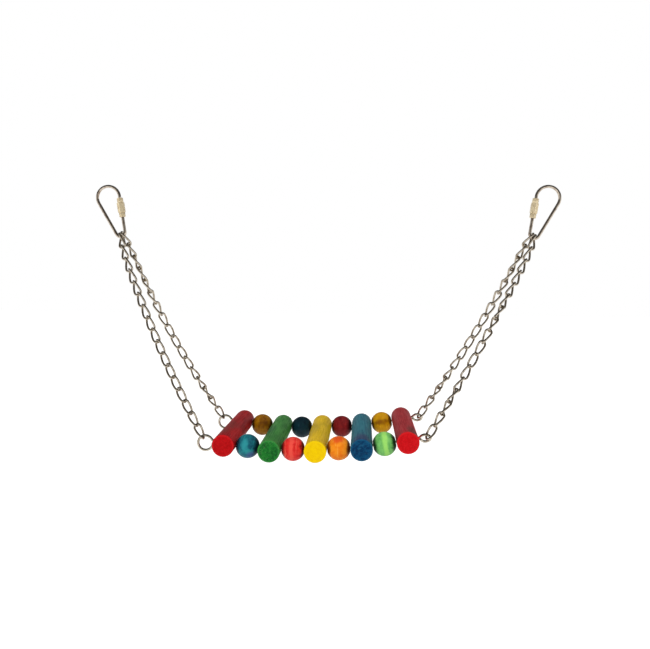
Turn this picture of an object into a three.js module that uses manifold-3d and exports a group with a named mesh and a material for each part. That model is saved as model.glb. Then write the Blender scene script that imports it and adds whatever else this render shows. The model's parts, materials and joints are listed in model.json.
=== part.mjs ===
// A hanging bridge for pet birds: five round wooden rungs and eight wooden beads, threaded on two
// steel wires whose ends are bent into eyes. Four twisted-link chains carry the eyes, and meet in
// pairs on two pear-shaped quick links that clip over the bars of a cage.
// Millimetres. X runs along the bridge, Y along the rungs from front to rear, Z is up. The origin is
// midway between the two quick links, at the height where the cage bars bear inside their bows.
import * as THREE from "three";
import { mergeVertices } from "three/addons/utils/BufferGeometryUtils.js";
import Module from "manifold-3d";

// Rungs and beads
const rungDiameter = 16;
const rungLength = 90;
const rungEdgeBreak = 0.7;
const beadDiameter = 17.2;
const beadLength = 16.2;
const holeDiameter = 2.9;
const runningGap = 0.3;
const deckSag = 5.4;
const deckShift = -2.8;
const deckRoll = 2.15;

// Wires that carry the deck
const deckWireDiameter = 1.9;
const deckWireInset = 9.5;
const leftEyeRadius = 5.3;
const leftEyeNeck = 5.9;
const leftEyeDroop = 21;
const rightEyeRadius = 3.65;
const rightEyeNeck = 4.05;
const rightEyeDroop = 15;
const rightEyeLean = 36;
const eyeNeckBend = 0.95;
const eyeStandOff = 0.8;
const eyeTailEnd = 1.4;

// Chains
const linkCount = 17;
const linkInnerLength = 9.98;
const linkOuterWidth = 6.3;
const linkWireDiameter = 1.6;
const linkTwist = 90;
const linkSeat = 0.2;
const firstLinkOffset = 0.95;
const leftChainSag = 4.5;
const rightChainSag = 2.9;
const strandPush = 1.3;
const strandPushPeak = 2;

// How far links 1, 5, 9, 13 and 17 of each chain are turned about its line: at 0 the link's middle
// faces front
const leftFrontTurns = [135, 160, 178, 195, 225];
const leftRearTurns = [135, 96, 29, -20, -135];
const rightFrontTurns = [45, 45, 125, 225, 335];
const rightRearTurns = [45, 108, 160, 225, 335];

// Room beyond the running gap where a chain turns: on the foot, at its first joint, in the right eyes
const footClearance = 0.2;
const firstJointClearance = 0.15;
const rightEyeClearance = 0.8;

// Quick links
const quickLinkSpan = 330;
const quickLinkLength = 42;
const quickLinkWidth = 19.5;
const quickLinkFootWidth = 9.2;
const quickLinkWireDiameter = 2.3;
const quickLinkTilt = 19;
const gateGap = 6;
const sleeveLength = 14.5;
const sleeveHexLength = 7.6;
const sleeveAcrossFlats = 5;
const sleeveCollarDiameter = 4.6;
const sleeveGrip = 3.5;
const sleeveBelowBow = 1.5;
const sleeveBoreClearance = 0.3;

// Facets
const roundSides = 20;
const holeSides = 12;
const beadSides = 14;
const beadRings = 6;
const linkSides = 5;
const crownSteps = 4;
const wireSides = 6;
const eyeSteps = 12;
const deckSteps = 16;
const quickLinkSides = 8;
const bowSteps = 16;
const footSteps = 10;

// Rounds of correction after which a strand's line, and the height of the deck, stand still
const linePasses = 6;
const heightPasses = 30;

const degrees = Math.PI / 180;
const up = new THREE.Vector3(0, 0, 1);
const depth = new THREE.Vector3(0, 1, 0);

// Colours of the stained wood and the plated steel
const stain = (color) => new THREE.MeshStandardMaterial({ color, roughness: 0.5, metalness: 0 });
const red = stain(0xb3202c);
const orange = stain(0xd9651f);
const yellow = stain(0xe0ae1c);
const green = stain(0x2f8a3c);
const lightGreen = stain(0x86b32c);
const blue = stain(0x1d3f83);
const teal = stain(0x1c6f93);
const navy = stain(0x14304f);
const darkRed = stain(0x8e1d20);
const steel = new THREE.MeshStandardMaterial({ color: 0xb9b2a6, roughness: 0.28, metalness: 1 });

// Stains from left to right
const rungStains = [
  { name: "red", stain: red },
  { name: "green", stain: green },
  { name: "yellow", stain: yellow },
  { name: "blue", stain: blue },
  { name: "red", stain: red },
];
const rungCount = rungStains.length;
const beadRows = [
  { row: -1, name: "front", stains: [teal, red, orange, lightGreen] },
  { row: 1, name: "rear", stains: [yellow, navy, darkRed, yellow] },
];

const wasm = await Module();
wasm.setup();

function solidFrom(geometry) {
  const bare = new THREE.BufferGeometry();
  bare.setAttribute("position", geometry.getAttribute("position"));
  if (geometry.index) bare.setIndex(geometry.index);
  const merged = mergeVertices(bare, 1e-4);
  return new wasm.Manifold(
    new wasm.Mesh({
      numProp: 3,
      vertProperties: merged.getAttribute("position").array,
      triVerts: new Uint32Array(merged.index.array),
    }),
  );
}

function geometryFrom(solid) {
  const mesh = solid.getMesh();
  const geometry = new THREE.BufferGeometry();
  geometry.setAttribute("position", new THREE.BufferAttribute(mesh.vertProperties, 3));
  geometry.setIndex(new THREE.BufferAttribute(mesh.triVerts, 1));
  geometry.computeVertexNormals();
  return geometry;
}

// A round wire along a list of points. Each ring's first corner points along that point's `inward`.
function wireAlong(points, inward, radius, sides, closed) {
  const count = points.length;
  const positions = [];
  const faces = [];
  points.forEach((point, i) => {
    const before = closed ? points[(i + count - 1) % count] : points[Math.max(i - 1, 0)];
    const after = closed ? points[(i + 1) % count] : points[Math.min(i + 1, count - 1)];
    const along = after.clone().sub(before).normalize();
    const first = inward[i].clone().addScaledVector(along, -inward[i].dot(along)).normalize();
    const second = along.clone().cross(first);
    for (let k = 0; k < sides; k += 1) {
      const angle = (k / sides) * 2 * Math.PI;
      const corner = point
        .clone()
        .addScaledVector(first, radius * Math.cos(angle))
        .addScaledVector(second, radius * Math.sin(angle));
      positions.push(corner.x, corner.y, corner.z);
    }
  });
  const bands = closed ? count : count - 1;
  for (let i = 0; i < bands; i += 1) {
    const near = i * sides;
    const far = ((i + 1) % count) * sides;
    for (let k = 0; k < sides; k += 1) {
      const next = (k + 1) % sides;
      faces.push(near + k, near + next, far + next, near + k, far + next, far + k);
    }
  }
  if (!closed) {
    const last = (count - 1) * sides;
    for (let k = 1; k < sides - 1; k += 1) {
      faces.push(0, k + 1, k);
      faces.push(last, last + k, last + k + 1);
    }
  }
  const geometry = new THREE.BufferGeometry();
  geometry.setAttribute("position", new THREE.Float32BufferAttribute(positions, 3));
  geometry.setIndex(faces);
  geometry.computeVertexNormals();
  return geometry;
}

const bridge = new THREE.Group();

function place(parent, name, geometry, material) {
  const mesh = new THREE.Mesh(geometry, material);
  mesh.name = name;
  parent.add(mesh);
  return mesh;
}

// Deck: each bead lies between two rungs, on a line that bends up towards the outer beads and is
// straight from there on
const holeRadius = holeDiameter / 2;
const rungPitch = rungDiameter + beadLength + 2 * runningGap;
const deckHalfLength = ((rungCount - 1) / 2) * rungPitch;
const bentHalfLength = deckHalfLength - rungPitch / 2;
const endSlope = deckSag / (deckHalfLength - (2 / 3) * bentHalfLength);
const wireHalfSpacing = rungLength / 2 - deckWireInset;

// The point at a distance along the deck from its middle
function deckPoint(distance) {
  const position = new THREE.Vector3(0, 0, -deckSag);
  const step = distance / deckSteps;
  for (let i = 0; i < deckSteps; i += 1) {
    const middle = (i + 0.5) * step;
    const bend = Math.min(Math.abs(middle) / bentHalfLength, 1);
    const slope = Math.sign(middle) * endSlope * bend ** 2;
    position.x += step * Math.cos(slope);
    position.z += step * Math.sin(slope);
  }
  return position;
}

// The slope of what is threaded there, halfway between those of the wire on its two sides
function deckSlope(distance) {
  const run = deckPoint(distance + rungPitch / 2).sub(deckPoint(distance - rungPitch / 2));
  return Math.atan2(run.z, run.x);
}

// The two ends' eyes differ: the left-hand ones are wide, and the right-hand ones small
function eyeOf(side) {
  return side < 0
    ? { radius: leftEyeRadius, neck: leftEyeNeck, droop: leftEyeDroop, lean: 0 }
    : { radius: rightEyeRadius, neck: rightEyeNeck, droop: rightEyeDroop, lean: rightEyeLean };
}

// Where a wire turns into its eye: it leaves the outer rung, and stands off it a little
const eyeRoot = deckPoint(deckHalfLength);
eyeRoot.x += (rungDiameter / 2 + eyeStandOff) * Math.cos(endSlope);
eyeRoot.z += (rungDiameter / 2 + eyeStandOff) * Math.sin(endSlope);

// The two directions that span an eye's plane: out along its axis, and across it. The left-hand
// eyes stand upright, and the right-hand ones lean over to the front.
function eyePlane(side) {
  const { droop, lean } = eyeOf(side);
  const axis = endSlope - droop * degrees;
  const out = new THREE.Vector3(side * Math.cos(axis), 0, Math.sin(axis));
  const across = new THREE.Vector3(-side * Math.sin(axis), 0, Math.cos(axis));
  across.applyAxisAngle(out, lean * degrees);
  return { out, across };
}

function eyeCentre(side, row) {
  const root = new THREE.Vector3(side * eyeRoot.x, row * wireHalfSpacing, eyeRoot.z);
  return root.addScaledVector(eyePlane(side).out, eyeOf(side).neck);
}

function rungGeometry(slope) {
  const radius = rungDiameter / 2;
  const half = rungLength / 2;
  const profile = [
    new THREE.Vector2(0, -half),
    new THREE.Vector2(radius - rungEdgeBreak, -half),
    new THREE.Vector2(radius, -half + rungEdgeBreak),
    new THREE.Vector2(radius, half - rungEdgeBreak),
    new THREE.Vector2(radius - rungEdgeBreak, half),
    new THREE.Vector2(0, half),
  ];
  let solid = solidFrom(new THREE.LatheGeometry(profile, roundSides));
  for (const row of [-1, 1]) {
    const drill = new THREE.CylinderGeometry(holeRadius, holeRadius, 2 * rungDiameter, holeSides);
    drill.rotateZ(Math.PI / 2);
    drill.rotateY(-slope);
    drill.translate(0, row * wireHalfSpacing, 0);
    solid = solid.subtract(solidFrom(drill));
  }
  return geometryFrom(solid);
}

// A turned ball, faced flat at its two ends
function beadGeometry() {
  const radius = beadDiameter / 2;
  const faced = Math.asin(beadLength / beadDiameter);
  const profile = [new THREE.Vector2(holeRadius, -beadLength / 2)];
  for (let i = 0; i <= beadRings; i += 1) {
    const angle = -faced + (i / beadRings) * 2 * faced;
    profile.push(new THREE.Vector2(radius * Math.cos(angle), radius * Math.sin(angle)));
  }
  profile.push(new THREE.Vector2(holeRadius, beadLength / 2), profile[0].clone());
  const geometry = new THREE.LatheGeometry(profile, beadSides);
  geometry.rotateZ(-Math.PI / 2);
  return geometry;
}

// One wire from its left eye, through the deck, to its right eye
function deckWireGeometry(row) {
  const points = [];
  const inward = [];
  function eyePoints(side) {
    const { radius, neck } = eyeOf(side);
    const { out, across } = eyePlane(side);
    const neckAngle = Math.acos(radius / neck);
    const neckReach = Math.sqrt(neck ** 2 - radius ** 2);
    const centre = eyeCentre(side, row);
    const root = centre.clone().addScaledVector(out, -neck);
    const onRing = (angle) =>
      centre
        .clone()
        .addScaledVector(out, radius * Math.cos(angle))
        .addScaledVector(across, radius * Math.sin(angle));
    const shank = new THREE.Vector3(-side * Math.cos(endSlope), 0, -Math.sin(endSlope));
    const start = Math.PI - neckAngle;
    const finish = neckAngle - Math.PI;
    const list = [];
    const firstTouch = onRing(start);
    const towardsTouch = firstTouch.clone().sub(root).normalize();
    list.push(root.clone().addScaledVector(shank, eyeNeckBend));
    const corner = root
      .clone()
      .addScaledVector(shank, eyeNeckBend / 4)
      .addScaledVector(towardsTouch, eyeNeckBend / 4);
    list.push(corner, root.clone().addScaledVector(towardsTouch, eyeNeckBend));
    for (let i = 0; i <= eyeSteps; i += 1) {
      list.push(onRing(start + (i / eyeSteps) * (finish - start)));
    }
    const lastTouch = onRing(finish);
    list.push(lastTouch.clone().lerp(root, 1 - eyeTailEnd / neckReach));
    const normal = out.clone().cross(across).multiplyScalar(-side);
    return list.map((point) => ({ point, normal }));
  }
  const left = eyePoints(-1).reverse();
  const right = eyePoints(1);
  const middle = [];
  const spans = 2 * (rungCount - 1);
  for (let i = 0; i <= spans; i += 1) {
    const point = deckPoint(-deckHalfLength + (i / spans) * 2 * deckHalfLength);
    point.y = row * wireHalfSpacing;
    middle.push({ point, normal: depth });
  }
  for (const { point, normal } of [...left, ...middle, ...right]) {
    points.push(point);
    inward.push(normal);
  }
  return wireAlong(points, inward, deckWireDiameter / 2, wireSides, false);
}

// Quick links: a pear of wire, wide bow up and narrow foot down, with a gate in its inner leg
const quickLinkWireRadius = quickLinkWireDiameter / 2;
const bowRadius = (quickLinkWidth - quickLinkWireDiameter) / 2;
const footRadius = (quickLinkFootWidth - quickLinkWireDiameter) / 2;
const footToBow = quickLinkLength - quickLinkWireDiameter - bowRadius - footRadius;
const legLean = Math.asin((bowRadius - footRadius) / footToBow);
const legLength = Math.sqrt(footToBow ** 2 - (bowRadius - footRadius) ** 2);

// In a quick link's own frame X points to the inner leg, Z up its axis, and the foot's centre is at 0
const legNormal = (side) => new THREE.Vector3(side * Math.cos(legLean), 0, -Math.sin(legLean));
const legDown = new THREE.Vector3(-Math.sin(legLean), 0, -Math.cos(legLean));
const legTop = legNormal(1).multiplyScalar(bowRadius).add(new THREE.Vector3(0, 0, footToBow));

function quickLinkGeometry() {
  const points = [];
  const bowCentre = new THREE.Vector3(0, 0, footToBow);
  const addArc = (centre, radius, from, to, steps) => {
    for (let i = 0; i <= steps; i += 1) {
      const angle = from + (i / steps) * (to - from);
      points.push(new THREE.Vector3(radius * Math.cos(angle), 0, radius * Math.sin(angle)).add(centre));
    }
  };
  points.push(legTop.clone().addScaledVector(legDown, sleeveBelowBow + sleeveGrip));
  addArc(bowCentre, bowRadius, -legLean, Math.PI + legLean, bowSteps);
  addArc(new THREE.Vector3(), footRadius, Math.PI + legLean, 2 * Math.PI - legLean, footSteps);
  points.push(legTop.clone().addScaledVector(legDown, sleeveBelowBow + sleeveGrip + gateGap));
  const inward = points.map(() => depth);
  return wireAlong(points, inward, quickLinkWireRadius, quickLinkSides, false);
}

// The sleeve that closes the gate: a hexagon between two round collars, bored for the leg
function sleeveGeometry() {
  const collar = new THREE.CylinderGeometry(
    sleeveCollarDiameter / 2,
    sleeveCollarDiameter / 2,
    sleeveLength,
    quickLinkSides * 2,
  );
  const hexRadius = sleeveAcrossFlats / Math.sqrt(3);
  const hexagon = new THREE.CylinderGeometry(hexRadius, hexRadius, sleeveHexLength, 6);
  const boreRadius = quickLinkWireRadius + sleeveBoreClearance;
  const bore = new THREE.CylinderGeometry(boreRadius, boreRadius, 2 * sleeveLength, quickLinkSides);
  const geometry = geometryFrom(solidFrom(collar).add(solidFrom(hexagon)).subtract(solidFrom(bore)));
  geometry.rotateX(Math.PI / 2);
  return geometry;
}

// Chains: a link's centreline is an oval whose plane turns steadily along its length. The chains of
// the two ends are twisted to opposite hands.
const linkWireRadius = linkWireDiameter / 2;
const crownRadius = (linkOuterWidth - linkWireDiameter) / 2;
const crownCentre = (linkInnerLength + linkWireDiameter) / 2 - crownRadius;

function linkGeometry(hand) {
  const points = [];
  const inward = [];
  const add = (height, across, normalHeight, normalAcross) => {
    const turn = hand * (height / linkInnerLength) * linkTwist * degrees;
    const sideways = new THREE.Vector3(Math.cos(turn), Math.sin(turn), 0);
    points.push(sideways.clone().multiplyScalar(across).addScaledVector(up, height));
    inward.push(sideways.multiplyScalar(-normalAcross).addScaledVector(up, -normalHeight));
  };
  for (const end of [1, -1]) {
    for (let i = 0; i <= crownSteps; i += 1) {
      const angle = (i / crownSteps) * Math.PI;
      const across = end * Math.cos(angle);
      const height = end * Math.sin(angle);
      add(end * crownCentre + crownRadius * height, crownRadius * across, height, across);
    }
    add(0, -end * crownRadius, 0, -end);
  }
  return wireAlong(points, inward, linkWireRadius, linkSides, true);
}

// The deck hangs a little to the left, with its right-hand end a little higher
const deckTurn = new THREE.Quaternion().setFromAxisAngle(depth, -deckRoll * degrees);

// Where the foot's centre lies, and how deep below it lie the foot's wire and the two crowns that
// sit side by side on that wire
const footX = quickLinkSpan / 2 - footToBow * Math.sin(quickLinkTilt * degrees);
const footSeatGap = runningGap + footClearance;
const footSeatRadius = footRadius - quickLinkWireRadius - linkWireRadius - footSeatGap;
const footSeatDepth = Math.sqrt(footSeatRadius ** 2 - firstLinkOffset ** 2);
const footWireDepth = Math.sqrt(footRadius ** 2 - firstLinkOffset ** 2);

// Strands: each runs from a quick link's foot to an eye
function strandBetween(side, row, footHeight) {
  const eye = eyeCentre(side, row).applyQuaternion(deckTurn);
  eye.x += deckShift;
  const { out, across } = eyePlane(side);
  out.applyQuaternion(deckTurn);
  across.applyQuaternion(deckTurn);
  const foot = new THREE.Vector3(side * footX, 0, footHeight);
  const load = foot.clone().sub(eye).normalize();
  const crownPoint = foot.clone();
  const eyePoint = eye.clone();
  const footWire = new THREE.Vector3();
  const eyeWay = new THREE.Vector3();
  for (let pass = 0; pass < linePasses; pass += 1) {
    const down = new THREE.Vector3(-load.x, 0, -load.z).normalize();
    footWire.set(-down.z, 0, down.x);
    crownPoint.copy(foot).addScaledVector(down, footWireDepth);
    crownPoint.addScaledVector(footWire, -row * side * firstLinkOffset);
    crownPoint.addScaledVector(load, footWireDepth - footSeatDepth);
    eyeWay.copy(out).multiplyScalar(load.dot(out));
    eyeWay.addScaledVector(across, load.dot(across)).normalize();
    eyePoint.copy(eye).addScaledVector(eyeWay, eyeOf(side).radius);
    load.copy(crownPoint).sub(eyePoint).normalize();
  }
  const eyeWire = eyeWay.clone().cross(out.clone().cross(across));
  return { crownPoint, eyePoint, load, footWire, eyeWire };
}

// The length that a strand's links need between the two wires, with their seats and gaps
const fusedJoints = Math.floor((linkCount - 1) / 2);
const looseJoints = linkCount - 1 - fusedJoints;
const topReach = (linkInnerLength + linkWireDiameter) / 2;
const bottomReach = (side) =>
  linkInnerLength / 2 - runningGap - deckWireDiameter / 2 - (side > 0 ? rightEyeClearance : 0);
const fusedPitch = linkInnerLength + linkSeat;
const loosePitch = linkInnerLength - runningGap;
const jointsLength = fusedJoints * fusedPitch + looseJoints * loosePitch - firstJointClearance;
const strandLength = (side) => topReach + jointsLength + bottomReach(side);

// The foot's height over the outer rungs at which the chains just reach the eyes
function footHeightOverDeck() {
  let height = strandLength(-1);
  const corners = [
    [-1, -1],
    [-1, 1],
    [1, -1],
    [1, 1],
  ];
  for (let pass = 0; pass < heightPasses; pass += 1) {
    let short = 0;
    for (const [side, row] of corners) {
      const { crownPoint, eyePoint, load } = strandBetween(side, row, height);
      short += (strandLength(side) - crownPoint.distanceTo(eyePoint)) / load.z;
    }
    height += short / corners.length;
  }
  return height;
}

const footHeight = footHeightOverDeck();
const bowHeight = footHeight + footToBow * Math.cos(quickLinkTilt * degrees);
const deckHeight = -(bowHeight + bowRadius - quickLinkWireRadius);

// Deck assembly
const deck = new THREE.Group();
deck.position.set(deckShift, 0, deckHeight);
deck.quaternion.copy(deckTurn);
bridge.add(deck);
rungStains.forEach(({ name, stain: material }, i) => {
  const distance = -deckHalfLength + i * rungPitch;
  const geometry = rungGeometry(deckSlope(distance));
  const rung = place(deck, `rung_${i + 1}_${name}`, geometry, material);
  rung.position.copy(deckPoint(distance));
});
for (const { row, name, stains } of beadRows) {
  for (let i = 0; i < rungCount - 1; i += 1) {
    const distance = -deckHalfLength + (i + 0.5) * rungPitch;
    const bead = place(deck, `bead_${name}_${i + 1}`, beadGeometry(), stains[i]);
    bead.position.copy(deckPoint(distance)).addScaledVector(depth, row * wireHalfSpacing);
    bead.rotation.y = -deckSlope(distance);
  }
  place(deck, `deck_wire_${name}`, deckWireGeometry(row), steel);
}

// One strand of chain, whose links turn about its line by the listed angles
function addStrand(sideName, side, rowName, row, turns) {
  const strand = strandBetween(side, row, footHeight);
  const group = new THREE.Group();
  const along = strand.load;
  const first = depth.clone().addScaledVector(along, -depth.dot(along)).normalize();
  const second = along.clone().cross(first);
  group.quaternion.setFromRotationMatrix(new THREE.Matrix4().makeBasis(first, second, along));
  group.position.copy(strand.crownPoint);
  group.position.z += deckHeight;
  bridge.add(group);

  // A crown lies across the wire that it hangs on, or that hangs on it, so that the first and last
  // of the listed angles give way to the nearest at which it does
  const acrossWire = (wireWay, halfTwist, roll) => {
    const across = wireWay.clone().cross(along);
    const own = Math.atan2(across.dot(second), across.dot(first)) + halfTwist;
    return own + Math.round((roll - own) / Math.PI) * Math.PI;
  };
  const halfTwist = (side * linkTwist * degrees) / 2;
  const keyRolls = turns.map((turn) => (turn - 90) * degrees);
  const lastKey = keyRolls.length - 1;
  keyRolls[0] = acrossWire(strand.footWire, -halfTwist, keyRolls[0]);
  keyRolls[lastKey] = acrossWire(strand.eyeWire, halfTwist, keyRolls[lastKey]);
  const keyLinks = keyRolls.map((roll, key) => (key * (linkCount - 1)) / lastKey);
  const rolls = new THREE.CubicInterpolant(keyLinks, keyRolls, 1);

  // The strands are not quite alike in length, and their joints share what differs
  const reach = strand.crownPoint.distanceTo(strand.eyePoint);
  const spare = (reach - strandLength(side)) / (linkCount - 1);
  let centre = -topReach;
  const centres = [];
  for (let i = 0; i < linkCount; i += 1) {
    centres.push(centre);
    centre -= spare + (i % 2 === 0 ? loosePitch : fusedPitch);
    if (i === 0) centre += firstJointClearance;
  }
  const rollAt = (i) => rolls.evaluate(i)[0];

  // Off its straight line, a strand sags outwards under its own weight, and near its top the two
  // strands that share a foot push each other apart
  const outwards = side * Math.sign(second.x);
  const sag = side < 0 ? leftChainSag : rightChainSag;
  const offLine = (height) => {
    const share = -height / reach;
    const links = -height / (strandPushPeak * linkInnerLength);
    const push = -row * strandPush * links * Math.exp(1 - links);
    return outwards * (4 * sag * share * (1 - share) + push);
  };
  const linkMatrix = (i) => {
    const half = linkInnerLength / 2;
    const top = offLine(Math.min(centres[i] + half, 0));
    const bottom = offLine(Math.max(centres[i] - half, -reach));
    const lean = Math.atan2(top - bottom, linkInnerLength);
    const matrix = new THREE.Matrix4().makeTranslation(0, (top + bottom) / 2, centres[i]);
    matrix.multiply(new THREE.Matrix4().makeRotationX(-lean));
    return matrix.multiply(new THREE.Matrix4().makeRotationZ(rollAt(i)));
  };
  for (let i = 0; i < linkCount; i += i === 0 ? 1 : 2) {
    const own = linkMatrix(i);
    let geometry = linkGeometry(side);
    let label = `${i + 1}`;
    if (i > 0 && i + 1 < linkCount) {
      const next = linkGeometry(side);
      next.applyMatrix4(own.clone().invert().multiply(linkMatrix(i + 1)));
      geometry = geometryFrom(solidFrom(geometry).add(solidFrom(next)));
      label = `${i + 1}_${i + 2}`;
    }
    const mesh = place(group, `chain_${sideName}_${rowName}_link_${label}`, geometry, steel);
    own.decompose(mesh.position, mesh.quaternion, mesh.scale);
  }
}

// Hanging gear, once for each end of the bridge
for (const { sideName, side, frontTurns, rearTurns } of [
  { sideName: "left", side: -1, frontTurns: leftFrontTurns, rearTurns: leftRearTurns },
  { sideName: "right", side: 1, frontTurns: rightFrontTurns, rearTurns: rightRearTurns },
]) {
  const hanger = new THREE.Group();
  hanger.position.set(side * footX, 0, footHeight + deckHeight);
  hanger.rotation.set(0, -quickLinkTilt * degrees, side > 0 ? Math.PI : 0, "ZYX");
  bridge.add(hanger);
  place(hanger, `quick_link_${sideName}`, quickLinkGeometry(), steel);
  const sleeve = place(hanger, `sleeve_${sideName}`, sleeveGeometry(), steel);
  sleeve.position.copy(legTop).addScaledVector(legDown, sleeveBelowBow + sleeveLength / 2);
  sleeve.rotation.y = legLean;
  addStrand(sideName, side, "front", -1, frontTurns);
  addStrand(sideName, side, "rear", 1, rearTurns);
}

export default bridge;
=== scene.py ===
"""A hanging bridge for pet birds: stained wooden rungs and beads on two steel wires, hung by four
twisted-link chains from two screw quick links. Sizes are in millimetres until a mesh is made."""

import json
import math
from typing import NamedTuple

import bmesh
import bpy
from mathutils import Matrix, Vector, noise


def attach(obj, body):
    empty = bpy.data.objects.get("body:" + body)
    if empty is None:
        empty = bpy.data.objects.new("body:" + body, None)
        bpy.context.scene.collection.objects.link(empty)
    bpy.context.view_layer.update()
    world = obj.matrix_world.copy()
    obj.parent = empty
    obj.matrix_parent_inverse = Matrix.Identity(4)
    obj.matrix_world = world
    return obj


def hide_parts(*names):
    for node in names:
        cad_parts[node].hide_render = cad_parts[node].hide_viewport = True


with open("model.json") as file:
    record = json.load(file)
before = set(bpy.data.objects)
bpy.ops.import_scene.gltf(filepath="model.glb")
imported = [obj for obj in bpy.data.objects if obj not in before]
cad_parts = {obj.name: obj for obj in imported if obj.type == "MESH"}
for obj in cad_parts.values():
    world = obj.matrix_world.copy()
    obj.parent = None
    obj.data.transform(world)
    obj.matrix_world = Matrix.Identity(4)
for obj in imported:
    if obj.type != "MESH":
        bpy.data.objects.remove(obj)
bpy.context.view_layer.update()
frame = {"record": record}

MM = 0.001
RIGHT = Vector((1, 0, 0))
DEPTH = Vector((0, 1, 0))
UP = Vector((0, 0, 1))

# Where a size differs from side to side, -1 is the left and 1 the right
SIDES = {"left": -1, "right": 1}
ROWS = {"front": -1, "rear": 1}

# Rungs and beads
RUNG_RADIUS = 8.0
RUNG_LENGTH = 90.0
BEAD_RADIUS = 8.6
BEAD_HALF_LENGTH = 8.1
HOLE_RADIUS = 1.45
RUNNING_GAP = 0.3
DECK_SAG = 5.4
DECK_SHIFT = -2.8
DECK_ROLL = math.radians(2.15)
RUNG_COUNT = 5

# Wires that carry the deck
DECK_WIRE_RADIUS = 0.95
DECK_WIRE_INSET = 9.5
EYE_RADIUS = {-1: 5.3, 1: 3.65}
EYE_NECK = {-1: 5.9, 1: 4.05}
EYE_DROOP = {-1: math.radians(21), 1: math.radians(15)}
EYE_LEAN = {-1: 0, 1: math.radians(36)}
EYE_NECK_BEND = 0.95
EYE_STAND_OFF = 0.8
EYE_TAIL_END = 1.4

# Chains
LINK_COUNT = 17
LINK_INNER_LENGTH = 9.98
LINK_OUTER_WIDTH = 6.3
LINK_WIRE_RADIUS = 0.8
LINK_TWIST = math.radians(90)
LINK_SEAT = 0.2
FIRST_LINK_OFFSET = 0.95
CHAIN_SAG = {-1: 4.5, 1: 2.9}
STRAND_PUSH = 1.3
STRAND_PUSH_PEAK = 2
FOOT_CLEARANCE = 0.2
FIRST_JOINT_CLEARANCE = 0.15
RIGHT_EYE_CLEARANCE = 0.8

# How far links 1, 5, 9, 13 and 17 of each chain are turned about its line, in degrees, by side
# and row: at 0 the link's middle faces front
TURNS = {
    (-1, -1): [135, 160, 178, 195, 225],
    (-1, 1): [135, 96, 29, -20, -135],
    (1, -1): [45, 45, 125, 225, 335],
    (1, 1): [45, 108, 160, 225, 335],
}

# Quick links
QUICK_LINK_SPAN = 330.0
QUICK_LINK_LENGTH = 42.0
QUICK_LINK_WIDTH = 19.5
QUICK_LINK_FOOT_WIDTH = 9.2
QUICK_LINK_WIRE_RADIUS = 1.15
QUICK_LINK_TILT = math.radians(19)
GATE_GAP = 6.0
SLEEVE_LENGTH = 14.5
SLEEVE_HEX_LENGTH = 7.6
SLEEVE_ACROSS_FLATS = 5.0
SLEEVE_COLLAR_RADIUS = 2.3
SLEEVE_GRIP = 3.5
SLEEVE_BELOW_BOW = 1.5
SLEEVE_BORE_CLEARANCE = 0.3

# Edges that turn by more degrees than this are drawn sharp
SHARP_EDGE = 40

body_of = {
    node: body
    for body, nodes in frame["record"]["behaviour"]["bodies"].items()
    for node in nodes
}


# Meshes

def build(name, rings, looped=False, sharp=SHARP_EDGE):
    """An object through rings of corners, with smooth faces and caps at its ends if it has any."""
    sides = len(rings[0])
    corners = [corner * MM for ring in rings for corner in ring]
    faces = []
    for i in range(len(rings) if looped else len(rings) - 1):
        near = i * sides
        far = (i + 1) % len(rings) * sides
        for k in range(sides):
            after = (k + 1) % sides
            faces.append((near + k, near + after, far + after, far + k))
    if not looped:
        faces.append(tuple(reversed(range(sides))))
        faces.append(tuple(range(len(corners) - sides, len(corners))))
    mesh = bpy.data.meshes.new(name)
    mesh.from_pydata(corners, [], faces)
    mesh.shade_smooth()
    mesh.set_sharp_from_angle(angle=math.radians(sharp))
    return add_object(name, mesh)


def add_object(name, mesh):
    piece = bpy.data.objects.new(name, mesh)
    bpy.context.scene.collection.objects.link(piece)
    return piece


def sweep(points, starts, radius, sides, looped=False):
    """Rings of a round wire along points. Each ring's first corner lies towards its start, and
    radius is a number, or a function of the ring and the angle round it."""
    rings = []
    count = len(points)
    for i, (point, start) in enumerate(zip(points, starts)):
        before = points[i - 1] if looped or i else points[0]
        after = points[(i + 1) % count] if looped or i < count - 1 else points[-1]
        along = (after - before).normalized()
        first = (start - along * start.dot(along)).normalized()
        second = along.cross(first)
        ring = []
        for k in range(sides):
            angle = 2 * math.pi * k / sides
            reach = radius(i, angle) if callable(radius) else radius
            ring.append(point + (first * math.cos(angle) + second * math.sin(angle)) * reach)
        rings.append(ring)
    return rings


def arc(centre, radius, begin, end, steps, across=RIGHT, rise=UP):
    """Points on an arc in the plane of two directions."""
    angles = [begin + (end - begin) * i / steps for i in range(steps + 1)]
    return [centre + (across * math.cos(a) + rise * math.sin(a)) * radius for a in angles]


def lathe(profile, sides, axis, cross, shape=lambda radius, angle: radius):
    """Rings about an axis, from (height, radius) pairs. Their first corners lie towards cross."""
    side = axis.cross(cross)
    return [
        [
            axis * height
            + (cross * math.cos(angle) + side * math.sin(angle)) * shape(radius, angle)
            for angle in (2 * math.pi * k / sides for k in range(sides))
        ]
        for height, radius in profile
    ]


# Where the deck's pieces lie

RUNG_PITCH = 2 * (RUNG_RADIUS + BEAD_HALF_LENGTH + RUNNING_GAP)
DECK_HALF_LENGTH = (RUNG_COUNT - 1) / 2 * RUNG_PITCH
BENT_HALF_LENGTH = DECK_HALF_LENGTH - RUNG_PITCH / 2
WIRE_HALF_SPACING = RUNG_LENGTH / 2 - DECK_WIRE_INSET
END_SLOPE = DECK_SAG / (DECK_HALF_LENGTH - BENT_HALF_LENGTH * 2 / 3)
DECK_STEPS = 16


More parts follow.
